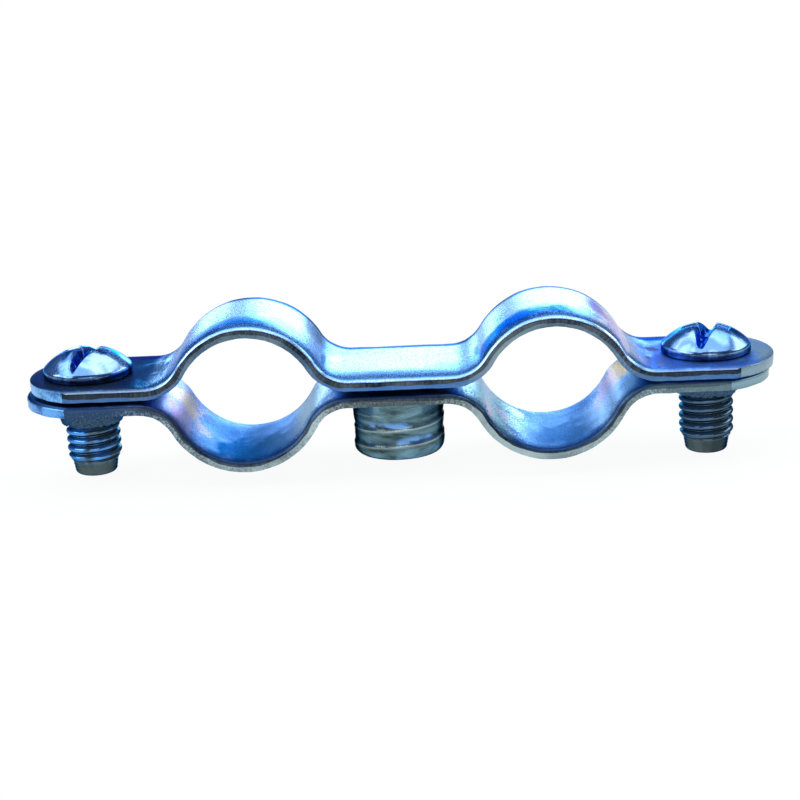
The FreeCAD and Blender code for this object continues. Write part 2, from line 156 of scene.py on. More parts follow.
def maths(tree, operation, *values):
    return addNode(tree, "ShaderNodeMath", dict(enumerate(values)), operation=operation)[0]


def scaled(tree, value, share):
    return maths(tree, "MULTIPLY", value, share)


# The form attribute holds along, across and depth on a strap; recess or upper flank, groove, and rim or tip
# on a screw; crease, ridge and side shade on the boss, the side shade a painted shade
def formVector(tree):
    return addNode(tree, "ShaderNodeAttribute", {}, attribute_name="form")["Vector"]


def vectorParts(tree, vector):
    return addNode(tree, "ShaderNodeSeparateXYZ", {"Vector": vector})


def stretched(tree, vector, scale, shift=(0, 0, 0)):
    inputs = {"Vector": vector, "Scale": scale, "Location": shift}
    return addNode(tree, "ShaderNodeMapping", inputs)["Vector"]


def stripCoords(tree, scale, seed=0):  # place on the flat strip, stretched per axis
    return stretched(tree, formVector(tree), scale, (7.3 * seed, 3.1 * seed, 0))


def pieceCoords(tree, scale):  # place on the piece in millimetres, stretched per axis
    source = addNode(tree, "ShaderNodeTexCoord", {})["Object"]
    return stretched(tree, source, [value / mm for value in scale])


def noise(tree, coords, scale, detail, roughness, distortion=0.0):
    inputs = {"Vector": coords, "Scale": scale, "Detail": detail, "Roughness": roughness,
              "Distortion": distortion}
    return addNode(tree, "ShaderNodeTexNoise", inputs)["Fac"]


def spread(tree, value, low, high, fromLow=0.35, fromHigh=0.65, **settings):  # noise stretched to a range
    inputs = dict(enumerate((value, fromLow, fromHigh, low, high)))
    return addNode(tree, "ShaderNodeMapRange", inputs, **settings)[0]


def ramp(tree, value, stops):
    made = tree.nodes.new("ShaderNodeValToRGB")
    setInputs(tree, made, {"Fac": value})
    elements = made.color_ramp.elements
    while len(elements) < len(stops):
        elements.new(0.5)
    for element, (place, colour) in zip(elements, stops):
        element.position = place
        element.color = (*colour, 1)
    return made.outputs["Color"]


def mixColour(tree, share, first, second):
    return addNode(tree, "ShaderNodeMix", {0: share, 6: first, 7: second}, data_type="RGBA")[2]


def bump(tree, height, strength, depth):  # depth in millimetres
    inputs = {"Height": height, "Strength": strength, "Distance": depth * mm}
    return addNode(tree, "ShaderNodeBump", inputs)["Normal"]


# Finishes

patchCore = 0.35  # a patch is whole up to this share of its reach
patchRim = 1.15  # and gone from this one
allAcross = 30  # reach of a band over the whole width


def softPatch(tree, place, ragged):  # soft-edged blotch at a place on the flat strip
    if len(place) == 2:
        place = (place[0], 0, place[1], allAcross)
    along, across, reachAlong, reachAcross = place
    placed = stretched(tree, formVector(tree), (1 / reachAlong, 1 / reachAcross, 0),
                       (-along / reachAlong, -across / reachAcross, 0))
    away = addNode(tree, "ShaderNodeVectorMath", {0: placed}, operation="LENGTH")["Value"]
    uneven = maths(tree, "ADD", away, ragged)
    return spread(tree, uneven, 1.0, 0.0, patchCore, patchRim, interpolation_type="SMOOTHSTEP")


def sheetFinish(name, seed, settings):  # rolled zinc on a strap, by place on the flat strip
    material, tree, shader = newMaterial(name)
    fray = settings["fray"]
    drift = noise(tree, stripCoords(tree, (0.12, 0.2, 0.2), seed), 1.0, 3, 0.55, 0.6)  # broad colour
    speckle = noise(tree, stripCoords(tree, (1, 0.45, 1), seed), 6.5, 4, 0.7)
    streak = noise(tree, stripCoords(tree, (0.5, 6, 1), seed), 1.0, 3, 0.6)  # rolling lines
    torn = noise(tree, stripCoords(tree, (0.45, 0.3, 0.2), seed + 5), 1.0, 4, 0.62, 0.5)  # patch outlines
    ragged = maths(tree, "MULTIPLY_ADD", speckle, fray, spread(tree, torn, -0.3, 0.3))
    ragged = maths(tree, "SUBTRACT", ragged, fray / 2)
    base = ramp(tree, drift, ((0.35, settings["deep"]), (0.65, settings["pale"])))
    dulled = spread(tree, speckle, *settings["roughness"])
    grazing = settings["grazing"]
    for place, colour, share, dull, *tint in settings["patches"]:
        mask = softPatch(tree, place, ragged)
        base = mixColour(tree, scaled(tree, mask, share), base, colour)
        if tint:
            grazing = mixColour(tree, scaled(tree, mask, share), grazing, tint[0])
        if dull:
            dulled = maths(tree, "MULTIPLY_ADD", mask, dull, dulled)
    across, depth = vectorParts(tree, formVector(tree))[1:]
    if "back" in settings:  # painted shade along the back edge
        backEdgeShade = spread(tree, across, 0, settings["backShare"], *settings["backFrom"])
        base = mixColour(tree, backEdgeShade, base, settings["back"])
        grazing = mixColour(tree, backEdgeShade, grazing, settings["back"])
    rolled = spread(tree, depth, 0, 1, 0.1, 0.22)  # rolled side, sheared edge, other side, collar
    rolled = maths(tree, "SUBTRACT", rolled, spread(tree, depth, 0, 1, 0.5, 0.9))
    # the rounded edge on the rolled side: painted pale on the upper strap, a painted highlight; darker on
    # the lower strap
    base = mixColour(tree, scaled(tree, rolled, settings["edgeShare"]), base, settings["edge"])
    outside = spread(tree, depth, 0, settings["outsideShare"], 0.7, 0.95)
    base = mixColour(tree, outside, base, settings["outside"])
    if "collar" in settings:
        pulled = mixColour(tree, spread(tree, speckle, 0, 1, 0.42, 0.62), *settings["collar"])
        base = mixColour(tree, spread(tree, depth, 0, 0.95, 1.04, 1.25), base, pulled)
    grained = spread(tree, speckle, 0, settings["speckle"], 0.42, 0.7)
    base = mixColour(tree, grained, base, settings["grain"])
    grazing = mixColour(tree, scaled(tree, grained, settings["grazingGrain"]), grazing, settings["grain"])
    ripple = maths(tree, "ADD", speckle, streak)
    setInputs(tree, shader, {
        "Base Color": base, "Roughness": dulled, "Specular Tint": grazing, "Metallic": 1.0,
        "Normal": bump(tree, ripple, *settings["bump"])})
    return material


def edgeFinish(name, settings):  # sheared faces, striped across the thickness or broken and grainy
    material, tree, shader = newMaterial(name)
    marks = noise(tree, stripCoords(tree, settings["grain"]), 1.0, 3, 0.6)
    drift = noise(tree, stripCoords(tree, (0.3, 0.3, 0.3)), 1.0, 2, 0.5)
    both = maths(tree, "MULTIPLY_ADD", marks, 0.6, drift)
    darkAt, lightAt = settings["contrast"]
    base = ramp(tree, both, ((darkAt, settings["dark"]), (lightAt, settings["light"])))
    ragged = spread(tree, marks, -0.3, 0.3)
    for place, colour, share in settings["patches"]:
        base = mixColour(tree, scaled(tree, softPatch(tree, place, ragged), share), base, colour)
    setInputs(tree, shader, {
        "Base Color": base, "Roughness": settings["roughness"], "Metallic": 0.85,
        "Normal": bump(tree, marks, *settings["bump"])})
    return material


def polish(tree, shader, settings, base):  # what the screws and the boss share
    grain, scale = settings["speckle"]
    speckle = noise(tree, pieceCoords(tree, grain), scale, 3, 0.6)
    setInputs(tree, shader, {
        "Base Color": base, "Roughness": spread(tree, speckle, *settings["roughness"]), "Metallic": 1.0,
        "Specular Tint": settings["grazing"], "Normal": bump(tree, speckle, *settings["bump"])})


# Pressed straps: a flat blank with its holes is meshed, given its sheared edges, and then bent

strip = {  # both straps, in millimetres
    "saddleRadius": 6.2, "bridgeBend": 3.2, "lugBend": 3.3, "width": 12.0, "thickness": 1.0,
    "lugOverhang": 5.6, "lugCorner": 1.43, "edgeRadius": 0.32, "holeRadius": 0.1, "holeLip": 0.05,
    "rollDepth": 0.06, "rollWidth": 1.2, "rollPower": 1.5, "bowFade": 1.5,
    "crownWidth": 3.4, "crownUneven": 0.25, "burnishRagged": 0.04, "leastBurnish": 0.02,
    "breakLean": 0.05, "breakRough": 0.012, "breakLip": 0.03, "burr": 0.025, "burrWidth": 0.05,
    # mesh: steps along the bends and the bridge, rows across, rings round holes, points round a lug's end
    "step": 0.35, "bridgeColumn": 0.8, "middleRow": 1.0, "lugGap": 0.25, "holeGap": 0.04,
    "edgeRows": (0, 0.12, 0.26, 0.44, 0.66, 0.94, 1.28, 1.68, 2.14, 2.66, 3.3),
    "ringStep": 0.4, "ringRows": 5, "ringWidth": 0.15, "endPoints": 45,
}
# a patch is its place (along, across, reach along, reach across, or a band's along and reach), colour and
# share, and on a sheet also the roughness that it adds and perhaps the tint of its grazing reflections
upperStrap = {
    "seed": 1, "rollUp": True, "tilt": 0.3, "saddleDrop": 0.95, "bridgeStep": 0.12, "lugHole": 3.0,
    "endRadius": 0.12, "crown": 0.24, "crownRise": 0.13, "burnish": 0.66, "burnishDrift": 0.14,
    "zinc": {
        "deep": (0.12, 0.35, 0.84), "pale": (0.22, 0.46, 0.92), "grazing": (0.5, 0.7, 1.0),
        "patches": (
            ((0, 0.5, 9, 6), (0.44, 0.64, 0.95), 0.75, 0),  # painted highlights on the bridge and saddle tops
            ((-12, 0.8, 3.6, 5), (0.46, 0.64, 0.95), 0.85, 0),
            ((-19.8, 2, 2, 5), (0.42, 0.62, 0.95), 0.8, 0),
            ((-16.2, 1.8, 3.4, 4), (0.44, 0.64, 0.95), 0.85, 0),
            ((15.5, 0.8, 5, 5), (0.44, 0.62, 0.95), 0.85, 0),
            ((12, 2.2, 2.8, 3.6), (0.44, 0.62, 0.95), 0.85, 0),
            ((9, 0.5, 2.4, 5), (0.42, 0.62, 0.95), 0.8, 0),
            ((-36, 12.5), (0.034, 0.05, 0.08), 0.95, 0.1, (0.13, 0.18, 0.28)),  # left lug, darkened: painted shade
            ((-28.4, 4.6), (0.05, 0.075, 0.11), 0.85, 0, (0.19, 0.27, 0.37)),
            ((36, 12.5), (0.03, 0.08, 0.34), 0.9, 0.25, (0.3, 0.45, 0.9)),  # right lug
            ((39.5, -1, 6.5, 9), (0.15, 0.2, 0.2), 0.9, 0, (0.48, 0.6, 0.62)),
            ((27.2, 0.5, 3, 7), (0.07, 0.14, 0.5), 0.8, 0.1, (0.36, 0.48, 0.9)),
            ((30.6, -3.2, 2.6, 1.6), (0.02, 0.045, 0.18), 0.7, 0.1, (0.2, 0.3, 0.66)),
            ((21.6, 0, 3.2, 9), (0.7, 0.78, 0.95), 0.85, -0.05, (1, 1, 1)),  # painted highlight on the outer side
            ((-9, 3.5, 1.8, 4.5), (0.12, 0.16, 0.17), 0.6, 0.15, (0.45, 0.55, 0.6)),  # painted shade, grey, on the left saddle's side towards the bridge
            ((19.4, 1.2, 1, 3.2), (0.12, 0.1, 0.4), 0.75, 0, (0.35, 0.34, 0.75)),  # violet film
            ((21.4, -1.5, 1.6, 5), (0.62, 0.46, 0.8), 0.6, 0, (0.8, 0.66, 1)),
            ((-17, -4, 5.5, 1.4), (0.04, 0.14, 0.5), 0.7, 0, (0.22, 0.4, 0.88)),  # painted dark blue reflection along the rolled front edge
            ((12.4, -3.9, 5.6, 2), (0.03, 0.1, 0.46), 0.85, 0, (0.15, 0.3, 0.8)),
            ((-1, -4.2, 6, 0.9), (0.05, 0.15, 0.5), 0.4, 0, (0.3, 0.45, 0.9)),
            ((7.6, -2.2, 0.5, 2.2), (0.05, 0.14, 0.48), 0.6, 0, (0.2, 0.35, 0.85)),  # ends of the bridge
            ((-7.6, -2.6, 0.45, 2.2), (0.04, 0.08, 0.14), 0.6, 0, (0.2, 0.3, 0.5)),
            ((26.7, -4, 0.2, 0.4), (0.32, 0.15, 0.06), 0.9, 0.2, (0.55, 0.42, 0.32)),  # rust specks
            ((25.6, -2.2, 0.3, 0.4), (0.2, 0.09, 0.04), 0.8, 0.2),
            ((26.2, 1, 0.9, 1.2), (0.12, 0.07, 0.06), 0.5, 0.2),
        ),
        # edge: the upper strap's rounded edge painted pale, a painted highlight
        "outside": (0.14, 0.28, 0.5), "outsideShare": 0.6, "edge": (0.55, 0.76, 0.97), "edgeShare": 0.7,
        # back: painted shade along the back edge
        "back": (0.05, 0.12, 0.30), "backShare": 0.8, "backFrom": (3.8, 4.5),
        "grain": (0.07, 0.22, 0.60), "speckle": 0.5, "grazingGrain": 0.25,
        "fray": 1.2, "roughness": (0.2, 0.32), "bump": (0.4, 0.02),
    },
    "burnished": {  # upper band of the sheared edge
        "dark": (0.008, 0.014, 0.024), "light": (0.10, 0.13, 0.16), "contrast": (0.6, 1.0),
        "roughness": 0.4, "bump": (0.5, 0.03), "grain": (4, 4, 0.4),
        "patches": (
            ((-34, 14), (0.012, 0.02, 0.035), 0.8),
            ((34, 14), (0.014, 0.024, 0.042), 0.8),
        ),
    },
    "broken": {  # lower band, blued
        "dark": (0.05, 0.10, 0.14), "light": (0.19, 0.29, 0.36), "contrast": (0.6, 1.0),
        "roughness": 0.45, "bump": (0.5, 0.03), "grain": (6, 6, 4),
        "patches": (
            ((0, 10), (0.05, 0.2, 0.58), 0.7),
            ((34, 14), (0.05, 0.18, 0.48), 0.75),
            ((-34, 14), (0.04, 0.15, 0.44), 0.75),
            ((9.5, 4), (0.26, 0.36, 0.38), 0.7),
        ),
    },
    "end": {  # rounded ends of the lugs
        "dark": (0.03, 0.14, 0.44), "light": (0.21, 0.53, 0.96), "contrast": (0.68, 0.92),
        "roughness": 0.36, "bump": (0.4, 0.03), "grain": (5, 5, 3),
        "patches": (((34, 14), (0.27, 0.38, 0.38), 0.82),),
    },
}
lowerStrap = {
    "seed": 2, "rollUp": False, "saddleDrop": 0.6, "bridgeStep": 0.12, "lugHole": 2.5, "endRadius": 0.32,
    "crown": 0.14, "crownRise": 0.0, "burnish": 0.54, "burnishDrift": 0.18, "centreHole": 3.42,
    "collarDepth": 1.8, "collarRoot": 3.25, "collarRim": 2.72, "collarRagged": 0.2, "collarLean": 0.1,
    "collarReach": 3.4, "collarRows": (2.66, 2.72, 2.78, 2.86, 2.95, 3.04, 3.12, 3.2, 3.3, 3.5),
    "zinc": {
        "deep": (0.045, 0.135, 0.42), "pale": (0.17, 0.36, 0.78), "grazing": (0.5, 0.72, 1.0),
        "patches": (
            ((-36, 11), (0.02, 0.06, 0.2), 0.85, 0, (0.15, 0.3, 0.6)),  # lugs
            ((36, 11), (0.03, 0.09, 0.26), 0.85, 0),
            ((8.4, 0.5, 5.4, 10), (0.47, 0.8, 1), 0.97, -0.11, (0.69, 0.93, 1)),  # painted highlights on the saddle sides
            ((-8.2, 0.5, 3.4, 9), (0.42, 0.68, 0.95), 0.8, -0.06, (0.8, 0.98, 1)),
            ((22.4, 1.4, 3.6, 9), (0.36, 0.62, 0.95), 0.5, -0.04, (0.75, 0.92, 1)),
            ((16.4, 2, 4, 4), (0.04, 0.085, 0.18), 0.75, 0, (0.34, 0.46, 0.74)),  # painted shade on the saddle floors
            ((-15, 3, 5, 6), (0.03, 0.075, 0.2), 0.85, 0, (0.3, 0.44, 0.78)),
            ((-13, 1.8, 3.2, 3.2), (0.03, 0.07, 0.12), 0.5, 0, (0.36, 0.5, 0.66)),
            ((-24, 1, 4, 9), (0.38, 0.36, 0.68), 0.75, -0.06),  # films of tint on the sides
            ((-23, 2.6, 1.8, 3), (0.62, 0.38, 0.58), 0.75, 0),
            ((-23.2, -1.2, 2.2, 2.8), (0.84, 0.6, 0.36), 0.9, 0),
            ((-20.8, 1.4, 1.5, 1.9), (0.58, 0.45, 0.36), 0.75, 0),
            ((24.3, -2.5, 1.4, 3.6), (0.9, 0.62, 0.14), 0.9, 0),
            ((22.4, -2, 1.9, 4), (0.56, 0.36, 0.68), 0.65, 0),
            ((8.6, -3, 1.4, 4), (0.74, 0.58, 0.86), 0.6, 0),
            ((8.4, 3.4, 0.9, 2.6), (0.95, 0.64, 0.86), 0.6, 0, (1, 0.84, 0.96)),
            ((10.4, 0.4, 1, 1.8), (0.8, 0.62, 0.94), 0.5, 0, (0.95, 0.84, 1)),
            ((26, 4, 2, 4.4), (0.02, 0.1, 0.17), 0.6, 0),
            ((0, 4.8), (0.014, 0.024, 0.05), 0.9, 0.1),  # painted shade under the upper bridge
        ),
        "outside": (0.17, 0.26, 0.35), "outsideShare": 0.8, "edge": (0.02, 0.045, 0.10), "edgeShare": 0.85,
        "collar": ((0.018, 0.035, 0.055), (0.07, 0.14, 0.21)),
        "grain": (0.025, 0.09, 0.26), "speckle": 0.5, "grazingGrain": 0.6,
        "fray": 1.2, "roughness": (0.34, 0.46), "bump": (0.35, 0.02),
    },
    "burnished": {  # lower band of the sheared edge
        "dark": (0.010, 0.016, 0.026), "light": (0.09, 0.12, 0.15), "contrast": (0.6, 1.0),
        "roughness": 0.4, "bump": (0.5, 0.03), "grain": (4, 4, 0.6),
        "patches": (
            ((-34, 9), (0.03, 0.09, 0.24), 0.85),
            ((34, 12), (0.06, 0.12, 0.15), 0.7),
        ),
    },
    "broken": {  # upper band, grey
        "dark": (0.15, 0.21, 0.23), "light": (0.46, 0.60, 0.62), "contrast": (0.6, 1.0),
        "roughness": 0.5, "bump": (0.6, 0.03), "grain": (6, 6, 4),
        "patches": (
            ((-34, 15), (0.02, 0.06, 0.15), 0.95),
            ((0, 8), (0.03, 0.045, 0.05), 0.75),
            ((11.5, 4.5), (0.46, 0.6, 0.62), 0.7),
            ((32, 10), (0.085, 0.155, 0.19), 0.8),
        ),
    },
    "end": {  # rounded ends of the lugs
        "dark": (0.015, 0.08, 0.30), "light": (0.16, 0.46, 0.95), "contrast": (0.68, 0.92),
        "roughness": 0.4, "bump": (0.5, 0.03), "grain": (8, 8, 6),
        "patches": (((34, 14), (0.28, 0.41, 0.39), 0.82),),
    },
}
pipeX = (mountPlace("right_pipe_seat").x - mountPlace("left_pipe_seat").x) / 2
screwX = jointPlace("right_screw_turn").x


def stripPath(strap):  # centre line of the right half: bridge, bend, saddle, bend, lug
    thickness = strip["thickness"]
    bridgeZ = strap["bridgeStep"] + thickness + strip["bridgeBend"]
    lugZ = thickness + strip["lugBend"]
    saddleZ = -strap["saddleDrop"]
    outside = strip["saddleRadius"] + thickness
    bridgeReach = math.sqrt((outside + strip["bridgeBend"]) ** 2 - (bridgeZ - saddleZ) ** 2)
    lugReach = math.sqrt((outside + strip["lugBend"]) ** 2 - (lugZ - saddleZ) ** 2)
    inner = math.atan2(bridgeZ - saddleZ, -bridgeReach)
    outer = math.atan2(lugZ - saddleZ, lugReach)
    bendX = pipeX - bridgeReach
    lugX = pipeX + lugReach
    bridgeRadius = strip["bridgeBend"] + thickness / 2
    saddleRadius = strip["saddleRadius"] + thickness / 2
    lugRadius = strip["lugBend"] + thickness / 2
    lengths = [bendX, bridgeRadius * (inner - math.pi / 2), saddleRadius * (inner - outer),
               lugRadius * (math.pi / 2 - outer)]
    marks = np.cumsum(lengths)

    def place(along):  # x, z and the normal of the upper side
        run = np.abs(along)
        x, z = run.copy(), np.full_like(run, strap["bridgeStep"] + thickness / 2)
        normalX, normalZ = np.zeros_like(run), np.ones_like(run)
        arcs = (
            (marks[0], marks[1], (bendX, bridgeZ), bridgeRadius, -math.pi / 2, 1, -1),
            (marks[1], marks[2], (pipeX, saddleZ), saddleRadius, inner, -1, 1),
            (marks[2], marks[3], (lugX, lugZ), lugRadius, outer - math.pi, 1, -1),
        )
        for start, stop, centre, radius, angle, turn, side in arcs:
            here = (run > start) & (run <= stop)
            swing = angle + turn * (run[here] - start) / radius
            x[here] = centre[0] + radius * np.cos(swing)
            z[here] = centre[1] + radius * np.sin(swing)
            normalX[here] = side * np.cos(swing)
            normalZ[here] = side * np.sin(swing)
        lug = run > marks[3]
        x[lug] = lugX + run[lug] - marks[3]
        z[lug] = thickness / 2
        mirror = np.where(along < 0, -1.0, 1.0)
        return x * mirror, z, normalX * mirror, normalZ

    return place, marks, marks[3] - lugX


def blankPoint(blank, along, across):
    key = (round(along, 4), round(across, 4))
    if key not in blank["index"]:
        blank["index"][key] = len(blank["points"])
        blank["points"].append(key)
    return blank["index"][key]


def blankFace(blank, corners):
    blank["faces"].append([blankPoint(blank, *corner) for corner in corners])


def blankGrid(blank, columns, rows):
    for left, right in zip(columns, columns[1:]):
        for low, high in zip(rows, rows[1:]):
            blankFace(blank, ((left, low), (right, low), (right, high), (left, high)))


def blankRing(blank, centreX, radii, outline, closed):  # from a round hole out to an outline
    spokes = []
    for along, across in outline:
        reach = math.hypot(along - centreX, across)
        tail = np.linspace(radii[-1], reach, strip["ringRows"])[1:]
        ways = [radius / reach for radius in (*radii, *tail)]
        spokes.append([(centreX + (along - centreX) * way, across * way) for way in ways])
    pairs = zip(spokes, spokes[1:] + spokes[:1]) if closed else zip(spokes, spokes[1:])
    for spoke, following in pairs:
        for row in range(len(spoke) - 1):
            blankFace(blank, (spoke[row], spoke[row + 1], following[row + 1], following[row]))


def evenly(start, stop, step):
    return np.linspace(start, stop, max(2, int(round(abs(stop - start) / step)) + 1)).tolist()


def cutBlank(strap, marks, lugShift):
    blank = {"points": [], "index": {}, "faces": []}
    side = strip["width"] / 2 - strip["edgeRadius"]
    near = [side - depth for depth in strip["edgeRows"]]
    rows = [-value for value in near] + evenly(-near[-1], near[-1], strip["middleRow"])[1:-1] + near[::-1]
    holeAt = screwX + lugShift
    lugStart = marks[3] + strip["lugGap"]
    start = 0.0
    if "centreHole" in strap:
        start = marks[0] - strip["holeGap"]
        edge = strap["centreHole"] + strip["holeRadius"]
        outline = [(value, -side) for value in evenly(0, start, strip["ringStep"])]
        outline += [(start, value) for value in rows[1:]]
        outline += [(value, side) for value in evenly(start, 0, strip["ringStep"])[1:]]
        blankRing(blank, 0.0, [edge, edge + strip["ringWidth"]], outline, False)
    columns = evenly(start, marks[0], strip["bridgeColumn"])
    for low, high in zip(marks[:3], marks[1:4]):
        columns += evenly(low, high, strip["step"])[1:]
    blankGrid(blank, columns + [lugStart], rows)

    rise = strip["lugOverhang"] - strip["lugCorner"]
    endRadius = ((strip["width"] / 2) ** 2 + rise ** 2) / (2 * rise)
    endCentre = holeAt + strip["lugOverhang"] - endRadius
    arcRadius = endRadius - strap["endRadius"]
    swing = math.asin(side / arcRadius)
    corner = endCentre + arcRadius * math.cos(swing)
    angles = np.linspace(-swing, swing, strip["endPoints"])
    arc = [(endCentre + arcRadius * math.cos(angle), arcRadius * math.sin(angle)) for angle in angles]
    outline = [(value, -side) for value in evenly(lugStart, corner, strip["step"])[:-1]] + arc
    outline += [(value, side) for value in evenly(corner, lugStart, strip["step"])[1:]]
    outline += [(lugStart, value) for value in rows[::-1][1:-1]]
    edge = strap["lugHole"] + strip["holeRadius"]
    blankRing(blank, holeAt, [edge, *strap.get("collarRows", ())], outline, True)

    # left half, mirrored about the middle of the bridge
    points = list(blank["points"])
    for face in list(blank["faces"]):
        blankFace(blank, [(-points[i][0], points[i][1]) for i in reversed(face)])
    return blank, holeAt, corner


def rimLoops(blank):  # border loops with the outward direction at each point
    following = {}
    directed = {edge for face in blank["faces"] for edge in ringEdges(face)}
    for start, stop in directed:
        if (stop, start) not in directed:
            following[start] = stop
    points = np.array(blank["points"])
    loops = []
    while following:
        loop = [min(following)]
        while following[loop[-1]] != loop[0]:
            loop.append(following[loop[-1]])
        for start in loop:
            del following[start]
        here = points[loop]
        step = np.roll(here, -1, 0) - here
        normal = np.stack([step[:, 1], -step[:, 0]], 1)
        normal /= np.linalg.norm(normal, axis=1)[:, None]
        before = np.roll(normal, 1, 0)
        miter = (normal + before) / (1 + np.sum(normal * before, 1))[:, None]
        loops.append((loop, miter))
    return loops


def sheetDepths(strap, flat, marks, holeAt):  # depths of the rolled side and of the side with the burr
    inset = strip["width"] / 2 - np.abs(flat[:, 1])
    fade = strip["bowFade"]
    bowed = 1 - ease((np.abs(flat[:, 0]) - marks[3] + fade) / fade)  # bridge and saddles, not the lugs
    uneven = 1 + strip["crownUneven"] * wobble(0.45 * flat[:, 0], strap["seed"])
    rolled = strip["rollDepth"] * np.clip(1 - inset / strip["rollWidth"], 0, 1) ** 2
    rolled += bowed * strap["crown"] * uneven * np.clip(1 - inset / strip["crownWidth"], 0, 1) ** 3
    rolled -= bowed * strap["crownRise"]
    burred = np.full(len(flat), strip["thickness"])
    if "collarRoot" in strap:  # collars pulled out round the screw holes, with torn rims
        offset = np.stack([np.abs(flat[:, 0]) - holeAt, flat[:, 1]], 1)
        radius = np.linalg.norm(offset, axis=1)
        angle = np.arctan2(offset[:, 1], offset[:, 0])
        side = np.sign(flat[:, 0])
        torn = strap["collarRagged"] * wobble(4 * angle, strap["seed"] + side) ** 2
        share = ease((strap["collarRoot"] - radius) / (strap["collarRoot"] - strap["collarRim"]))
        share = share * (1 - strap["collarLean"] * side - torn)
        burred = burred + strap["collarDepth"] * share * (radius < strap["collarReach"])
    return rolled, burred


def edgeBands(strap, travel, radius, drop, deep, isHole):  # outward offset, depth, finish of the band above
    bands = []
    power = strip["rollPower"]
    for degrees in (15, 30, 45, 60, 75, 90):
        swing = math.radians(degrees)
        finish = 1 if degrees > 70 and not isHole else 0
        depth = drop + radius * (1 - math.cos(swing) ** power)
        bands.append((radius * math.sin(swing) ** power, depth, finish))
    if isHole:
        return bands + [(radius, deep - strip["holeLip"], 1)]
    seed = strap["seed"]
    line = strap["burnish"] + strip["burnishRagged"] * wobble(1.7 * travel, seed + 3)
    line = strip["thickness"] * (line + strap["burnishDrift"] * wobble(0.3 * travel, seed + 6))
    line = np.maximum(line, drop + radius + strip["leastBurnish"])
    lean = strip["breakLean"] * (1 + 0.3 * wobble(2.6 * travel, seed + 5))
    rough = strip["breakRough"] * wobble(9 * travel, seed + 8)
    burr = strip["burr"] * (1 + wobble(3.1 * travel, 4))
    return bands + [
        (radius, line, 1),
        (radius - 0.4 * lean + rough, line + strip["breakLip"], 2),
        (radius - lean - rough, deep - strip["breakLip"], 2),
        (radius - 0.6 * lean, deep + burr, 2),
        (radius - strip["burrWidth"] - lean, deep, 2),
    ]


def pressStrap(name, strap, toFrame):
    place, marks, lugShift = stripPath(strap)
    blank, holeAt, corner = cutBlank(strap, marks, lugShift)
    thickness = strip["thickness"]
    flat = np.array(blank["points"])
    count = len(flat)
    rolled, burred = sheetDepths(strap, flat, marks, holeAt)

    # depth is counted from the rolled side: points are (along, across, depth)
    points = [np.column_stack([flat, rolled]), np.column_stack([flat, burred])]
    faces = list(blank["faces"]) + [[count + i for i in reversed(face)] for face in blank["faces"]]
    finishes = [0] * len(faces)
    sharp = []
    total = 2 * count
    for loop, outward in rimLoops(blank):
        here = flat[loop]
        isHole = np.max(np.abs(here[:, 1])) < strip["width"] / 2 - 1
        onEnd = (np.abs(here[:, 0]) > corner - 1e-3) & (not isHole)
        radius = np.where(onEnd, strap["endRadius"], strip["edgeRadius"])
        if isHole:
            radius[:] = strip["holeRadius"]
        travel = np.cumsum(np.linalg.norm(here - np.roll(here, 1, 0), axis=1))
        rows = edgeBands(strap, travel, radius, rolled[loop], burred[loop], isHole)
        bands = [loop]
        for shift, depth, finish in rows:
            points.append(np.column_stack([here + outward * shift[:, None], depth]))
            bands.append(list(range(total, total + len(loop))))
            total += len(loop)
        bands.append([count + i for i in loop])
        bandFinish = [row[2] for row in rows] + [1 if isHole else 0]
        for upper, lower, finish in zip(bands, bands[1:], bandFinish):
            quads = ringQuads(upper, lower)
            faces += quads
            shade = np.full(len(quads), finish)
            if not isHole and finish > 0:
                shade[onEnd & np.roll(onEnd, -1)] = 3
            finishes += shade.tolist()
        if isHole:
            continue
        for ring in (bands[7], bands[8], bands[10]):  # burnish line, start of the break, burr
            sharp += ringEdges(ring)
        cornered = onEnd & (strap["endRadius"] < strip["edgeRadius"])
        for i in np.nonzero(cornered != np.roll(cornered, 1))[0]:
            k = i if onEnd[i] else i - 1
            sharp += [(upper[k], lower[k]) for upper, lower in zip(bands, bands[1:])]
    flatPoints = np.concatenate(points)
    height = flatPoints[:, 2]
    if strap["rollUp"]:
        height = thickness - height
    else:
        faces = [face[::-1] for face in faces]
    x, z, normalX, normalZ = place(flatPoints[:, 0])
    lift = height - thickness / 2
    bent = np.column_stack([x + normalX * lift, flatPoints[:, 1], z + normalZ * lift])
    materials = [sheetFinish(name + "_zinc", strap["seed"], strap["zinc"])]
    materials += [edgeFinish(name + "_" + part, strap[part]) for part in ("burnished", "broken", "end")]
    return makePiece(name, moved(bent, toFrame), faces, finishes, materials, sharp, flatPoints)


upperLow, upperHigh = nodeBox("upper_strap")
lowerTop = nodeBox("lower_strap")[1].z
tilt = math.radians(upperStrap["tilt"])
tiltRise = (upperHigh.x - upperLow.x) / 2 * math.tan(tilt)
upperPlace = Matrix.Translation(((upperLow.x + upperHigh.x) / 2, 0, upperLow.z + tiltRise))
upperPiece = pressStrap("upper_strap_pressing", upperStrap, upperPlace @ Matrix.Rotation(tilt, 4, "Y"))
lowerPiece = pressStrap("lower_strap_pressing", lowerStrap,
                        Matrix.Translation((0, 0, lowerTop)) @ Matrix.Rotation(math.pi, 4, "X"))
for piece, node, body in (
        (upperPiece, "upper_strap", "upper_half"),
        (lowerPiece, "lower_strap", "lower_half")):
    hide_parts(node)
    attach(piece, body)


# Screws: domed head with a slot and a cross recess, threaded shank

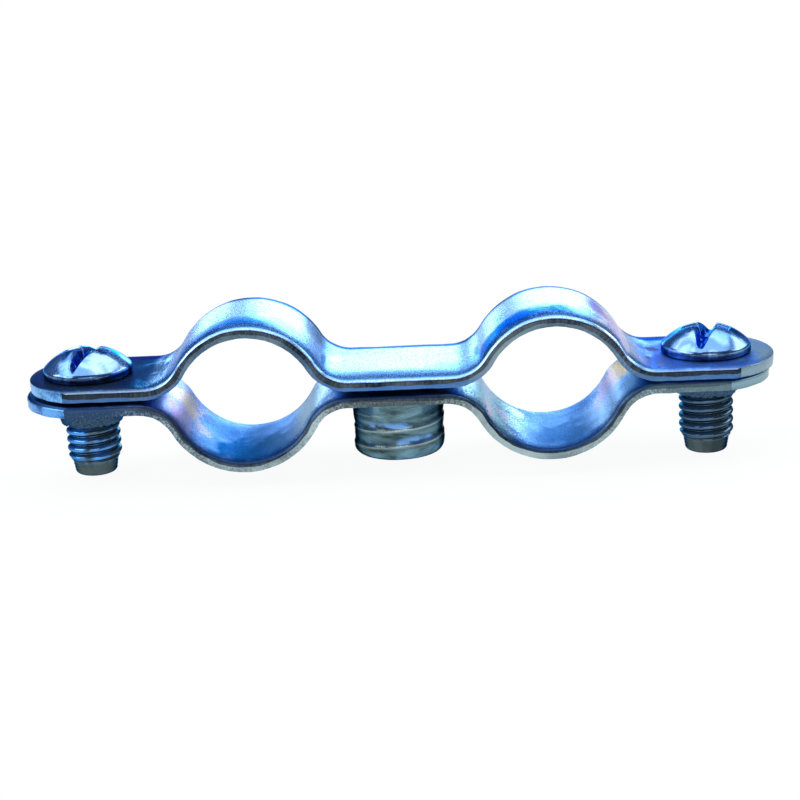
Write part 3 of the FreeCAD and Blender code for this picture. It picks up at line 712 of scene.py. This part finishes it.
screw = {  # millimetres
    "headRadius": 4.0, "headHeight": 2.5, "rim": 0.7, "rimRound": 0.15, "footRound": 0.13, "dents": 0.02,
    "slotFloor": 0.4, "slotDepth": 1.45, "slotSlope": 2.2, "slotTurn": 16.0,
    "wingWidth": 1.3, "wingSpan": 4.3, "wingDepth": 1.7, "wingSlope": 5.7, "wingEndShare": 0.7,
    "wallSoft": 0.2, "edgeSoft": 0.5, "length": 9.2,
    "pitch": 0.8, "crest": 2.45, "crestShare": 0.3, "crestRound": 0.05, "threadDepth": 0.4,
    "pointStart": 1.9, "pointWidth": 2.04, "pointFade": 0.9, "pointSoft": 0.05, "plainTip": 1.2,
    "tipWidth": 1.84, "tipRound": 0.4, "toolMark": 0.014, "toolPitch": 0.28,
    # mesh: lines across the slot, then by angle out to the rim; lines along it; points round the shank
    "crossLines": (0, 0.2, 0.34, 0.42, 0.46, 0.5, 0.54, 0.58, 0.62, 0.66, 0.7, 0.78, 0.88, 1.05, 1.25, 1.45,
                   1.65, 1.8, 1.9, 1.97, 2.04, 2.11, 2.18, 2.26, 2.36, 2.5),
    "outerLines": (43, 84, 10), "slotReach": 1.9, "rimRows": 20,
    "slotLines": (0, 0.2, 0.4, 0.5, 0.56, 0.6, 0.64, 0.68, 0.72, 0.78, 0.9),
    "columns": 120, "rowsPerPitch": 20,
    "head": {
        "deep": (0.20, 0.43, 0.88), "pale": (0.36, 0.58, 0.95), "recess": (0.03, 0.10, 0.42),
        "film": (0.04, 0.14, 0.40), "filmShare": 0.65,
        "rim": ((0.032, 0.062, 0.13), (0.22, 0.38, 0.58)), "rimShare": 0.97, "grazing": (0.15, 0.35, 0.8),
        "speckle": ((1, 1, 1), 5.0), "roughness": (0.14, 0.24), "bump": (0.15, 0.02),
    },
    "thread": {
        # flank: painted highlight on the upper flanks; under and root: painted shade on the lower flanks
        # and in the roots
        "crest": (0.075, 0.12, 0.155), "flank": (0.17, 0.27, 0.36), "under": (0.06, 0.09, 0.12),
        "root": (0.075, 0.11, 0.14), "tip": ((0.022, 0.035, 0.04), (0.075, 0.11, 0.115)),
        # film: a tint mottled by noise and a painted blue sheen leaning to the left side
        "film": {"left_screw": (0.11, 0.38, 0.90), "right_screw": (0.07, 0.14, 0.24)},
        "sheenLean": 0.16, "filmAndSheenOver": 0.4, "grazing": (0.2, 0.3, 0.45),
        "speckle": ((1, 1, 1), 5.0), "roughness": (0.16, 0.28), "bump": (0.2, 0.02),
    },
}


def headFinish():
    settings = screw["head"]
    material, tree, shader = newMaterial("zincHead")
    drift = noise(tree, pieceCoords(tree, (0.35, 0.35, 0.35)), 1.0, 3, 0.55, 0.4)
    wear = noise(tree, pieceCoords(tree, (0.45, 0.45, 0.2)), 1.0, 3, 0.55, 0.4)
    recess, groove, rim = vectorParts(tree, formVector(tree))
    base = ramp(tree, drift, ((0.35, settings["deep"]), (0.65, settings["pale"])))
    # painted shade: darker blue in the slot and cross recess
    base = mixColour(tree, spread(tree, recess, 0, 0.95, 0.08, 0.5), base, settings["recess"])
    base = mixColour(tree, spread(tree, wear, settings["filmShare"], 0, 0.4, 0.5), base, settings["film"])
    side = mixColour(tree, spread(tree, wear, 0, 1, 0.42, 0.6), *settings["rim"])
    polish(tree, shader, settings, mixColour(tree, rim, base, side))
    return material


def threadFinish(node):
    settings = screw["thread"]
    film = settings["film"][node]
    lean = settings["sheenLean"]
    axisX = jointPlace(node + "_turn").x
    material, tree, shader = newMaterial(node + "_thread")
    drift = noise(tree, pieceCoords(tree, (0.4, 0.4, 0.25)), 1.0, 3, 0.55, 0.4)
    upperFlank, groove, tip = vectorParts(tree, formVector(tree))
    across = vectorParts(tree, pieceCoords(tree, (1, 1, 1)))[0]
    sided = spread(tree, across, lean, -lean, axisX - screw["crest"], axisX + screw["crest"])
    filmAndSheenMask = spread(tree, maths(tree, "ADD", drift, sided), 0, 0.85, 0.46, 0.62)  # tint mottled by noise, with a painted blue sheen stronger on the left side
    base = mixColour(tree, filmAndSheenMask, settings["crest"], film)
    # painted highlight on the upper flanks, painted shade on the lower flanks and in the roots
    flank = mixColour(tree, upperFlank, settings["under"], settings["flank"])
    base = mixColour(tree, spread(tree, groove, 0, 1, 0.02, 0.2), base, flank)
    base = mixColour(tree, spread(tree, groove, 0, 1, 0.4, 0.75), base, settings["root"])
    base = mixColour(tree, scaled(tree, filmAndSheenMask, settings["filmAndSheenOver"]), base, film)
    dull = mixColour(tree, spread(tree, drift, 0, 1), *settings["tip"])
    polish(tree, shader, settings, mixColour(tree, tip, base, dull))
    return material


def domeHeight(radius):  # with the radius of the dome's sphere
    crown = screw["headHeight"]
    rise = crown - screw["rim"]
    sphere = (screw["headRadius"] ** 2 + rise ** 2) / (2 * rise)
    return crown - sphere + np.sqrt(sphere ** 2 - radius ** 2), sphere


def headTop(across, along):  # height of the head's top over its underside, and depth of the recess
    crown = screw["headHeight"]
    soft = screw["wallSoft"]
    dome = domeHeight(np.hypot(across, along))[0]
    dome = dome - screw["dents"] * (1 + wobble(1.3 * across + 0.4 * along, 2) * wobble(1.1 * along, 5))
    floor = crown - screw["slotDepth"]
    slotWall = floor + screw["slotSlope"] * (np.abs(across) - screw["slotFloor"] / 2)
    slot = smoothMax(floor + 0 * across, slotWall, soft)
    wings = []
    for wide, far in ((across, along), (along, across)):
        sideWall = crown + screw["wingSlope"] * (np.abs(wide) - screw["wingWidth"] / 2)
        endWall = crown + screw["wingEndShare"] * screw["wingSlope"] * (np.abs(far) - screw["wingSpan"] / 2)
        wings.append(np.maximum(smoothMax(sideWall, endWall, soft), crown - screw["wingDepth"]))
    cut = np.minimum(slot, np.minimum(*wings))
    top = smoothMin(dome, cut, screw["edgeSoft"])
    return top, dome - top


def headGrid():  # disc whose lines follow the slot and the cross recess, with its rim loop
    radius = screw["headRadius"]
    outer = radius * np.sin(np.radians(np.linspace(*screw["outerLines"])))
    half = [*screw["crossLines"], *outer.tolist()]
    fixed = np.array(screw["slotLines"])
    shares = np.linspace(0, 1, screw["rimRows"] + 1)[1:]
    points, grid = [], []
    for column in [-value for value in half[:0:-1]] + half:
        top = math.sqrt(radius ** 2 - column ** 2)
        inner = fixed * min(1.0, top / screw["slotReach"])
        up = np.concatenate([inner, inner[-1] + (top - inner[-1]) * shares])
        rows = np.concatenate([-up[:0:-1], up])
        grid.append(list(range(len(points), len(points) + len(rows))))
        points += [(column, row) for row in rows]
    disc = np.array(points)
    for edge in (grid[0], grid[-1]):  # the outermost columns lie on the rim
        disc[edge, 0] = np.sign(disc[edge, 0]) * np.sqrt(radius ** 2 - disc[edge, 1] ** 2)
    faces = []
    for left, right in zip(grid, grid[1:]):
        faces += [(left[k], right[k], right[k + 1], left[k + 1]) for k in range(len(left) - 1)]
    rim = [column[0] for column in grid] + grid[-1][1:]
    rim += [column[-1] for column in grid[-2::-1]] + grid[0][-2:0:-1]
    return disc * (radius - screw["rimRound"]) / radius, faces, rim


def threadRing(level, turns):  # radius, groove share, tip share and upper flank at a height below the seat
    phase = (level / screw["pitch"] - turns / (2 * math.pi)) % 1.0
    fromCrest = 1 - np.abs(2 * phase - 1)
    groove = ease((fromCrest - screw["crestShare"]) / (1 - screw["crestShare"]))
    rounding = screw["crestRound"] * np.clip(fromCrest / screw["crestShare"], 0, 1) ** 2
    thread = screw["crest"] - rounding - (screw["threadDepth"] - screw["crestRound"]) * groove
    left = screw["length"] + level  # what is left down to the tip
    point = np.interp(left, (0, screw["plainTip"], screw["pointStart"]),
                      (screw["tipWidth"], screw["pointWidth"], screw["crest"]))
    point = point + screw["toolMark"] * np.sin(2 * math.pi * left / screw["toolPitch"])
    plain = ease((screw["pointStart"] - left) / screw["pointFade"])
    upper = np.where(phase < 0.5, 1.0, 0.0)
    radius = smoothMin(thread, point + 0 * turns, screw["pointSoft"])
    return radius, groove * (1 - plain), plain, upper


def stitchRings(outerRing, outerAngles, innerRing, innerAngles):  # flat band, rings of unlike count
    outer = sorted(zip(outerAngles % (2 * math.pi), outerRing))
    inner = sorted(zip(innerAngles % (2 * math.pi), innerRing))
    faces = []
    i = j = 0
    while i < len(outer) or j < len(inner):
        nextOuter = outer[(i + 1) % len(outer)][0] + 2 * math.pi * (i + 1 >= len(outer))
        nextInner = inner[(j + 1) % len(inner)][0] + 2 * math.pi * (j + 1 >= len(inner))
        here, there = outer[i % len(outer)][1], inner[j % len(inner)][1]
        if j >= len(inner) or (i < len(outer) and nextOuter < nextInner):
            faces.append((here, there, outer[(i + 1) % len(outer)][1]))
            i += 1
        else:
            faces.append((here, there, inner[(j + 1) % len(inner)][1]))
            j += 1
    return faces


def makeScrew(name, axisX, seatZ, materials):
    disc, faces, rim = headGrid()
    heights, recess = headTop(disc[:, 0], disc[:, 1])
    solid = [np.column_stack([disc, heights])]
    forms = [np.column_stack([recess, 0 * recess, 0 * recess])]

    def addRing(angles, radius, height, groove=0.0, tip=0.0, upper=0.0):
        flat = 0 * angles
        start = sum(len(ring) for ring in solid)
        solid.append(ringPoints(radius, angles, height))
        forms.append(np.column_stack([upper + flat, groove + flat, tip + flat]))
        return list(range(start, start + len(angles)))

    # rounded side of the head, from the dome's edge round to the underside
    rimShare = screw["head"]["rimShare"]
    angles = np.arctan2(disc[rim, 1], disc[rim, 0])
    edge = screw["headRadius"] - screw["rimRound"]
    edgeTop, sphere = domeHeight(edge)
    slope = math.asin(edge / sphere)
    bend = screw["rimRound"] / (1 - math.sin(slope))
    uneven = heights[rim] - edgeTop
    bands = [rim]
    for share in np.linspace(0, 1, 8)[1:]:
        swing = slope + share * (math.pi / 2 - slope)
        radius = edge + bend * (math.sin(swing) - math.sin(slope))
        height = edgeTop - bend * (math.cos(slope) - math.cos(swing)) + (1 - share) * uneven
        bands.append(addRing(angles, radius, height, tip=rimShare * share))
    foot = screw["footRound"]
    for swing in np.radians((0, 22, 45, 67, 90)):
        radius = screw["headRadius"] - foot * (1 - math.cos(swing))
        bands.append(addRing(angles, radius, foot * (1 - math.sin(swing)), tip=rimShare))
    for upper, lower in zip(bands, bands[1:]):
        faces += ringQuads(upper, lower)
    headFaces = len(faces)

    # threaded shank, from the seat down to the tip
    turns = np.linspace(-math.pi, math.pi, screw["columns"], endpoint=False)
    rows = int(screw["length"] * screw["rowsPerPitch"] / screw["pitch"])
    tipRound = screw["tipRound"]
    shank = []
    for level in -np.linspace(0, screw["length"] - tipRound, rows):
        radius, groove, plain, upper = threadRing(level, turns)
        shank.append(addRing(turns, radius, level, groove, plain, upper))
    tipRadius = float(np.mean(threadRing(-screw["length"] + tipRound, turns)[0]))
    for swing in np.radians((18, 36, 54, 72, 90)):
        shank.append(addRing(turns, tipRadius - tipRound * (1 - math.cos(swing)),
                             -screw["length"] + tipRound * (1 - math.sin(swing)), tip=1.0))
    faces += stitchRings(bands[-1], angles, shank[0], turns)
    for upper, lower in zip(shank, shank[1:]):
        faces += ringQuads(upper, lower)
    faces.append(tuple(reversed(shank[-1])))
    finishes = [0] * headFaces + [1] * (len(faces) - headFaces)
    turned = Matrix.Rotation(-math.radians(screw["slotTurn"]), 4, "Z")
    solid = moved(np.concatenate(solid), Matrix.Translation((axisX, 0, seatZ)) @ turned)
    return makePiece(name, solid, faces, finishes, materials, (), np.concatenate(forms))


headZinc = headFinish()
for node in ("left_screw", "right_screw"):
    seatZ = nodeBox(node)[0].z + screw["length"]
    axisX = jointPlace(node + "_turn").x
    piece = makeScrew(node + "_threaded", axisX, seatZ, (headZinc, threadFinish(node)))
    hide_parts(node)
    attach(piece, node)


# Threaded boss, its wall creased by the thread rolled into it

boss = {  # millimetres
    "radius": 4.1, "edge": 0.7, "flare": 0.06, "flareHeight": 0.9, "uneven": 0.035, "waistRate": 2.1,
    "ridge": 0.07, "ridgeWidth": 0.09, "ridgeStart": 1.0, "ridgeDrift": 0.02,
    "crease": 0.1, "creaseAbove": 0.26, "creaseWidth": 0.2, "plainTop": 1.2, "plainFade": 0.9,
    "bore": 2.7, "threadDepth": 0.55, "pitch": 1.5, "mouthBevel": 0.1, "mouthDepth": 0.5, "boreTop": 0.6,
    "spigot": 3.4, "grip": 1.0, "rim": 3.8, "rimHeight": 0.2, "rimBevel": 0.08,
    "columns": 160, "rowStep": 0.05,
    "zinc": {
        "dark": (0.032, 0.055, 0.06), "grey": (0.12, 0.225, 0.265), "blue": (0.22, 0.42, 0.54),
        # crease: painted shade in the creases; glint: painted highlight
        "crease": (0.02, 0.034, 0.05), "glint": (0.18, 0.44, 1.0), "creaseShare": 0.88,
        # the last colour is a painted shade for the left and right sides
        "ridge": (0.56, 0.63, 0.58), "ridgeShare": 0.7, "sideShade": (0.02, 0.032, 0.04),
        "grazing": (0.1, 0.15, 0.2), "speckle": ((1, 1, 1.6), 4.0),
        "roughness": (0.24, 0.4), "bump": (0.35, 0.03),
    },
}


def bossFinish():
    settings = boss["zinc"]
    material, tree, shader = newMaterial("dullZinc")
    drift = noise(tree, pieceCoords(tree, (0.22, 0.22, 1.1)), 1.0, 4, 0.6, 0.5)
    glint = noise(tree, pieceCoords(tree, (0.3, 0.3, 0.5)), 1.0, 3, 0.6, 0.4)
    crease, ridge, sideShade = vectorParts(tree, formVector(tree))
    base = ramp(tree, drift, ((0.36, settings["dark"]), (0.52, settings["grey"]), (0.72, settings["blue"])))
    # painted shade in the creases above the ridges, with painted blue glints where the noise is high
    creaseShadeAndGlint = mixColour(tree, spread(tree, glint, 0, 1, 0.5, 0.6), settings["crease"], settings["glint"])
    base = mixColour(tree, scaled(tree, crease, settings["creaseShare"]), base, creaseShadeAndGlint)
    # a painted highlight along the ridge crests
    base = mixColour(tree, scaled(tree, ridge, settings["ridgeShare"]), base, settings["ridge"])
    # the side shade mask, a painted shade, mottled by the drift noise
    dulled = spread(tree, maths(tree, "MULTIPLY_ADD", drift, 0.4, sideShade), 0, 0.85, 0.85, 1.15)
    polish(tree, shader, settings, mixColour(tree, dulled, base, settings["sideShade"]))
    return material


def makeBoss():
    top = nodeBox("threaded_boss")[1].z
    shoulder = top - boss["rimHeight"] - boss["grip"]
    turns = np.linspace(-math.pi, math.pi, boss["columns"], endpoint=False)

    def creaseAt(level):  # crease share and ridge share, the crease lying above the rolled ridge
        rise = level / boss["pitch"] - (turns + boss["ridgeStart"]) / (2 * math.pi)
        rise = rise + boss["ridgeDrift"] * wobble(turns, 6)
        calm = ease((shoulder - level - boss["plainTop"]) / boss["plainFade"])
        calm = calm * (0.65 + 0.35 * wobble(1.6 * turns + level, 9))

        def hump(centre, width):
            away = (rise - centre + 0.5) % 1.0 - 0.5
            return np.exp(-(away / width) ** 2)

        return calm * hump(boss["creaseAbove"], boss["creaseWidth"]), calm * hump(0.0, boss["ridgeWidth"])

    uneven = boss["uneven"] * wobble(2 * turns, 3)
    rings = []  # radius, height, crease share, ridge share
    for level in np.arange(shoulder, boss["edge"], -boss["rowStep"]):
        flare = boss["flare"] * ease(1 - (shoulder - level) / boss["flareHeight"])
        crease, ridge = creaseAt(level)
        dent = boss["ridge"] * ridge - boss["crease"] * crease
        waist = boss["uneven"] * math.sin(boss["waistRate"] * level)
        radius = boss["radius"] - boss["uneven"] + dent + flare + uneven + waist
        rings.append((radius, level, crease, ridge))
    last = rings[-1][0]
    # the bottom rounding takes a crease share: painted shade
    for swing in np.radians((10, 20, 30, 40, 50, 60, 70, 80, 90)):
        radius = last - boss["edge"] * (1 - math.cos(swing))
        rings.append((radius, boss["edge"] * (1 - math.sin(swing)), math.sin(swing) ** 2, 0.0))
    rings.append((boss["bore"] + boss["threadDepth"] + boss["mouthBevel"], 0.0, 0.2, 0.0))
    # the bore's thread grooves take a crease share: painted shade
    for level in np.arange(boss["mouthBevel"], top, boss["rowStep"]):
        wave = np.cos(2 * math.pi * level / boss["pitch"] - turns)
        opened = ease(1 - level / boss["mouthDepth"])
        depth = np.maximum(ease(0.5 + 0.75 * wave), opened) * ease((top - level) / boss["boreTop"])
        rings.append((boss["bore"] + boss["threadDepth"] * depth, level, 0.4 * depth, 0.0))
    rimLow = top - boss["rimHeight"]
    bevel = boss["rimBevel"]
    rings += [(radius, level, 0.0, 0.0) for radius, level in (  # riveted rim and spigot
        (boss["bore"], top), (boss["rim"] - bevel, top), (boss["rim"], top - bevel),
        (boss["rim"], rimLow), (boss["spigot"], rimLow), (boss["spigot"], shoulder))]
    flat = 0 * turns
    sideShade = np.abs(np.cos(turns)) ** 2  # painted shade on the two sides, left and right
    solid = np.concatenate([ringPoints(radius, turns, level) for radius, level, crease, ridge in rings])
    form = np.concatenate([np.column_stack([crease + flat, ridge + flat, sideShade])
                           for radius, level, crease, ridge in rings])
    count = len(turns)
    bands = [list(range(k * count, (k + 1) * count)) for k in range(len(rings))]
    faces = [quad for upper, lower in ringEdges(bands) for quad in ringQuads(upper, lower)]
    sharp = [edge for ring in [bands[0]] + bands[-6:] for edge in ringEdges(ring)]
    return makePiece("threaded_boss_rolled", solid, faces, [0] * len(faces), (bossFinish(),), sharp, form)


bossPiece = makeBoss()
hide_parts("threaded_boss")
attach(bossPiece, "lower_half")
print("pieces ready")


# Camera at the viewing angle of the photograph

view = {  # lens, sensor, place and nearest point in millimetres, turns in degrees
    "lens": 92.27, "sensor": 36, "place": (3.19, -177.95, 55.80), "near": 5,
    "yaw": -0.973, "pitch": 16.062, "roll": -2.718,
}


def placeCamera():
    yaw, pitch, roll = (math.radians(view[key]) for key in ("yaw", "pitch", "roll"))
    forward = Vector((math.sin(yaw) * math.cos(pitch), math.cos(yaw) * math.cos(pitch), -math.sin(pitch)))
    level = Vector((math.cos(yaw), -math.sin(yaw), 0))
    rise = level.cross(forward)
    right = math.cos(roll) * level + math.sin(roll) * rise
    up = -math.sin(roll) * level + math.cos(roll) * rise
    data = bpy.data.cameras.new("camera")
    data.lens = view["lens"]
    data.sensor_width = view["sensor"]
    data.clip_start = view["near"] * mm
    camera = bpy.data.objects.new("camera", data)
    turned = Matrix((right, up, -forward)).transposed().to_4x4()
    camera.matrix_world = Matrix.Translation(Vector(view["place"]) * mm) @ turned
    scene.collection.objects.link(camera)
    scene.camera = camera


# Studio: pale floor, soft lamps and a dim blue surround

studio = {
    "floorSize": 24.0, "floorColour": (0.92, 0.93, 0.94), "floorGlow": 0.94,  # floor size in metres
    "surround": (0.11, 0.16, 0.24), "surroundStrength": 1.0,
    "lamps": (  # name, place, target and size in millimetres, brightness (a strength of 1 is white)
        ("overhead", (-50, 120, 450), (-50, 120, 0), (800, 600), 1.9),
        ("backSheet", (70, 600, 126), (70, 0, 126), (215, 172), 4.6),
        ("backHalo", (75, 615, 126), (75, 0, 126), (290, 240), 1.6),
        ("backLeft", (-107, 600, 165), (-107, 0, 165), (130, 105), 2.5),
        ("lowLeft", (-178, 600, 58), (-178, 0, 58), (114, 106), 5.0),
        ("frontSheet", (20, -600, 180), (20, 0, 180), (440, 280), 1.8),
        ("leftSide", (-390, -140, 260), (0, 0, 10), (420, 200), 3.0),
        ("rightSide", (400, 130, 250), (0, 0, 10), (420, 200), 2.6),
    ),
}


def layFloor():
    floorZ = min(nodeBox("left_screw")[0].z, nodeBox("right_screw")[0].z) * mm
    half = studio["floorSize"] / 2
    corners = [(x * half, y * half, floorZ) for x, y in ((-1, -1), (1, -1), (1, 1), (-1, 1))]
    mesh = bpy.data.meshes.new("floor")
    mesh.from_pydata(corners, [], [(0, 1, 2, 3)])
    floor = bpy.data.objects.new("floor", mesh)
    scene.collection.objects.link(floor)
    material, tree = newMaterial("paleFloor")[:2]
    tree.nodes.clear()
    path = addNode(tree, "ShaderNodeLightPath", {})
    seen = maths(tree, "MAXIMUM", path["Is Camera Ray"], path["Is Glossy Ray"])
    seen = maths(tree, "MAXIMUM", seen, path["Is Transmission Ray"])
    share = scaled(tree, seen, studio["floorGlow"])  # the rest keeps the shadow
    cloth = addNode(tree, "ShaderNodeBsdfDiffuse", {"Color": studio["floorColour"]})[0]
    glow = addNode(tree, "ShaderNodeEmission", {"Color": (1, 1, 1), "Strength": 1.0})[0]
    both = addNode(tree, "ShaderNodeMixShader", {0: share, 1: cloth, 2: glow})[0]
    addNode(tree, "ShaderNodeOutputMaterial", {"Surface": both})
    mesh.materials.append(material)


def hangLamps():
    world = bpy.data.worlds.new("surround")
    scene.world = world
    world.use_nodes = True
    tree = world.node_tree
    setInputs(tree, tree.nodes["Background"],
              {"Color": studio["surround"], "Strength": studio["surroundStrength"]})
    for name, place, target, size, brightness in studio["lamps"]:
        data = bpy.data.lights.new(name, "AREA")
        data.shape = "RECTANGLE"
        data.size, data.size_y = size[0] * mm, size[1] * mm
        data.energy = brightness * math.pi * data.size * data.size_y
        lamp = bpy.data.objects.new(name, data)
        lamp.location = Vector(place) * mm
        lamp.rotation_euler = (Vector(target) - Vector(place)).to_track_quat("-Z", "Y").to_euler()
        lamp.visible_camera = False
        scene.collection.objects.link(lamp)


placeCamera()
layFloor()
hangLamps()
print("camera and studio ready")
